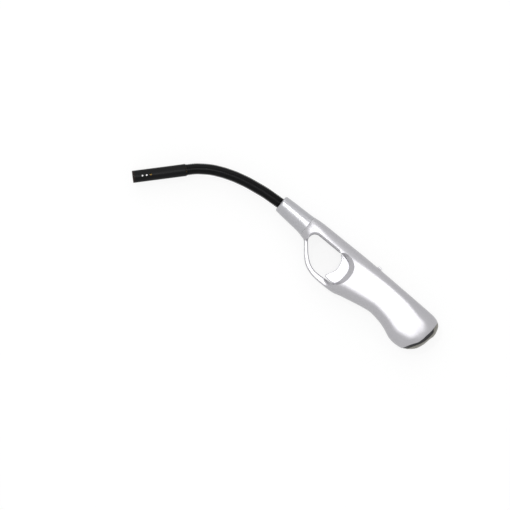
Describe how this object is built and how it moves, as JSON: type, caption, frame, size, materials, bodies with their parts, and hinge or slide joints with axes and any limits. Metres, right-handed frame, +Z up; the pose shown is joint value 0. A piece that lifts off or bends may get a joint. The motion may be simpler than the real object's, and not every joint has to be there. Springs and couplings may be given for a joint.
{
  "type": "flexible-neck gas lighter",
  "caption": "Refillable piezo gas lighter or utility torch with a bendable gooseneck, drilled flame tube, trigger in a guard loop, safety catch and filler valve.",
  "frame": {"origin": "middle of the flat side of the right shell, on which the lighter lies", "axes": "+X along the handle towards the butt, +Y towards the top edge of the handle, +Z up through the thickness, out of the left side"},
  "size_m": [0.2541, 0.0653, 0.022],
  "materials": {
    "silver_shell": "satin silver paint on a moulded shell",
    "nose_metal": "satin silver",
    "trigger_grey": "satin pale grey",
    "neck_black": "glossy black vinyl",
    "nozzle_black": "black baked finish on steel",
    "brass": "turned",
    "steel": "plain",
    "black_plastic": "moulded",
    "natural_plastic": "moulded",
    "ceramic": "glazed",
    "smoked_tank": "smoked clear",
    "lead_red": "silicone sleeve"
  },
  "bodies": {
    "handle": {"left_shell": "silver_shell", "right_shell": "silver_shell", "shell_screw_1": "steel", "shell_screw_2": "steel", "shell_screw_3": "steel", "nose_ferrule": "nose_metal", "end_cap": "silver_shell", "end_plug": "black_plastic", "filler_body": "brass", "fuel_tank": "smoked_tank", "valve_body": "brass", "valve_spring": "steel", "lever_pin": "steel", "piezo_case": "black_plastic", "piezo_spring": "steel", "piezo_contact": "brass", "neck_link_01": "neck_black", "neck_socket": "black_plastic", "gas_line": "black_plastic", "ignition_lead": "lead_red"},
    "neck_link_02": {"neck_link_02": "neck_black"},
    "neck_link_03": {"neck_link_03": "neck_black"},
    "neck_link_04": {"neck_link_04": "neck_black"},
    "neck_link_05": {"neck_link_05": "neck_black"},
    "neck_link_06": {"neck_link_06": "neck_black"},
    "neck_link_07": {"neck_link_07": "neck_black"},
    "neck_link_08": {"neck_link_08": "neck_black"},
    "neck_link_09": {"neck_link_09": "neck_black"},
    "neck_link_10": {"neck_link_10": "neck_black"},
    "neck_link_11": {"neck_link_11": "neck_black"},
    "neck_link_12": {"neck_link_12": "neck_black"},
    "neck_link_13": {"neck_link_13": "neck_black"},
    "neck_link_14": {"neck_link_14": "neck_black"},
    "nozzle": {"neck_link_15": "neck_black", "nozzle_tube": "nozzle_black", "nozzle_holder": "brass", "burner_jet": "brass", "electrode_insulator": "ceramic", "electrode": "steel"},
    "trigger": {"trigger": "trigger_grey"},
    "piezo_plunger": {"piezo_plunger": "natural_plastic"},
    "gas_lever": {"gas_lever": "natural_plastic"},
    "valve_stem": {"valve_stem": "brass"},
    "safety_catch": {"safety_catch": "silver_shell"},
    "flame_adjuster": {"flame_adjuster": "black_plastic"},
    "filler_stem": {"filler_stem": "brass"}
  },
  "joints": [
    {"name": "neck_sway", "type": "hinge", "parent": "handle", "child": "neck_link_02", "pos_m": [-0.09249, 0.00796, 0.011], "axis": [-0.0541, 0.9985, 0], "range_deg": [-7, 7], "deforming": ["gas_line", "ignition_lead"]},
    {"name": "neck_sway_2", "type": "hinge", "parent": "neck_link_02", "child": "neck_link_03", "pos_m": [-0.09849, 0.00763, 0.011], "axis": [-0.0541, 0.9985, 0], "range_deg": [-7, 7], "deforming": ["gas_line", "ignition_lead"]},
    {"name": "neck_bend", "type": "hinge", "parent": "neck_link_03", "child": "neck_link_04", "pos_m": [-0.10298, 0.00739, 0.011], "axis": [0, 0, 1], "range_deg": [-5.35, 6], "deforming": ["gas_line", "ignition_lead"]},
    {"name": "neck_sway_3", "type": "hinge", "parent": "neck_link_04", "child": "neck_link_05", "pos_m": [-0.1104, 0.00629, 0.011], "axis": [-0.1469, 0.9891, 0], "range_deg": [-7, 7], "deforming": ["gas_line", "ignition_lead"]},
    {"name": "neck_bend_2", "type": "hinge", "parent": "neck_link_05", "child": "neck_link_06", "pos_m": [-0.11782, 0.00519, 0.011], "axis": [0, 0, 1], "range_deg": [-5.35, 6], "deforming": ["gas_line", "ignition_lead"]},
    {"name": "neck_sway_4", "type": "hinge", "parent": "neck_link_06", "child": "neck_link_07", "pos_m": [-0.12364, 0.00375, 0.011], "axis": [-0.2385, 0.9711, 0], "range_deg": [-7, 7], "deforming": ["gas_line", "ignition_lead"]},
    {"name": "neck_bend_3", "type": "hinge", "parent": "neck_link_07", "child": "neck_link_08", "pos_m": [-0.12801, 0.00268, 0.011], "axis": [0, 0, 1], "range_deg": [-5.35, 6], "deforming": ["gas_line", "ignition_lead"]},
    {"name": "neck_sway_5", "type": "hinge", "parent": "neck_link_08", "child": "neck_link_09", "pos_m": [-0.13226, 0.0012, 0.011], "axis": [-0.328, 0.9447, 0], "range_deg": [-7, 7], "deforming": ["gas_line", "ignition_lead"]},
    {"name": "neck_bend_4", "type": "hinge", "parent": "neck_link_09", "child": "neck_link_10", "pos_m": [-0.13651, -0.00027, 0.011], "axis": [0, 0, 1], "range_deg": [-5.35, 6], "deforming": ["gas_line", "ignition_lead"]},
    {"name": "neck_sway_6", "type": "hinge", "parent": "neck_link_10", "child": "neck_link_11", "pos_m": [-0.14061, -0.00214, 0.011], "axis": [-0.4147, 0.91, 0], "range_deg": [-7, 7], "deforming": ["gas_line", "ignition_lead"]},
    {"name": "neck_bend_5", "type": "hinge", "parent": "neck_link_11", "child": "neck_link_12", "pos_m": [-0.14334, -0.00338, 0.011], "axis": [0, 0, 1], "range_deg": [-5.35, 6], "deforming": ["gas_line", "ignition_lead"]},
    {"name": "neck_bend_6", "type": "hinge", "parent": "neck_link_12", "child": "neck_link_13", "pos_m": [-0.14724, -0.00562, 0.011], "axis": [0, 0, 1], "range_deg": [-5.35, 6], "deforming": ["gas_line", "ignition_lead"]},
    {"name": "neck_bend_7", "type": "hinge", "parent": "neck_link_13", "child": "neck_link_14", "pos_m": [-0.15337, -0.00995, 0.011], "axis": [0, 0, 1], "range_deg": [-5.35, 6], "deforming": ["gas_line", "ignition_lead"]},
    {"name": "neck_bend_8", "type": "hinge", "parent": "neck_link_14", "child": "nozzle", "pos_m": [-0.15565, -0.0119, 0.011], "axis": [0, 0, 1], "range_deg": [-5.35, 6], "deforming": ["gas_line", "ignition_lead"]},
    {"name": "trigger_slide", "type": "slide", "parent": "handle", "child": "trigger", "axis": [1, 0, 0], "range_m": [0, 0.005], "stiffness_N_per_m": 400, "springref_m": -0.004, "deforming": ["piezo_spring", "valve_spring", "gas_line"]},
    {"name": "plunger_slide", "type": "slide", "parent": "handle", "child": "piezo_plunger", "axis": [1, 0, 0], "range_m": [0, 0.005], "deforming": ["piezo_spring"]},
    {"name": "lever_turn", "type": "hinge", "parent": "handle", "child": "gas_lever", "pos_m": [0.014, 0.0049, 0.011], "axis": [0, 0, 1], "range_deg": [0, 24.5]},
    {"name": "stem_slide", "type": "slide", "parent": "handle", "child": "valve_stem", "axis": [-1, 0, 0], "range_m": [0, 0.0019], "deforming": ["valve_spring", "gas_line"]},
    {"name": "catch_slide", "type": "slide", "parent": "handle", "child": "safety_catch", "axis": [-1, 0, 0], "range_m": [0, 0.003]},
    {"name": "adjuster_turn", "type": "hinge", "parent": "handle", "child": "flame_adjuster", "pos_m": [0.0198, 0.009, 0.011], "axis": [1, 0, 0], "range_deg": [-35, 0]},
    {"name": "filler_press", "type": "slide", "parent": "handle", "child": "filler_stem", "axis": [-1, 0, 0], "range_m": [0, 0.002], "stiffness_N_per_m": 300, "springref_m": -0.002}
  ],
  "couplings": [
    {"joint": "neck_sway_2", "follows": "neck_sway", "ratio": 1},
    {"joint": "neck_sway_3", "follows": "neck_sway", "ratio": 1},
    {"joint": "neck_bend_2", "follows": "neck_bend", "ratio": 1},
    {"joint": "neck_bend_3", "follows": "neck_bend", "ratio": 1},
    {"joint": "neck_sway_5", "follows": "neck_sway_4", "ratio": 1},
    {"joint": "neck_bend_4", "follows": "neck_bend", "ratio": 1},
    {"joint": "neck_sway_6", "follows": "neck_sway_4", "ratio": 1},
    {"joint": "neck_bend_6", "follows": "neck_bend_5", "ratio": 1},
    {"joint": "neck_bend_7", "follows": "neck_bend_5", "ratio": 1},
    {"joint": "neck_bend_8", "follows": "neck_bend_5", "ratio": 1},
    {"joint": "plunger_slide", "follows": "trigger_slide", "ratio": 1},
    {"joint": "lever_turn", "follows": "trigger_slide", "rad_per_m": 85},
    {"joint": "stem_slide", "follows": "trigger_slide", "ratio": 0.37}
  ]
}
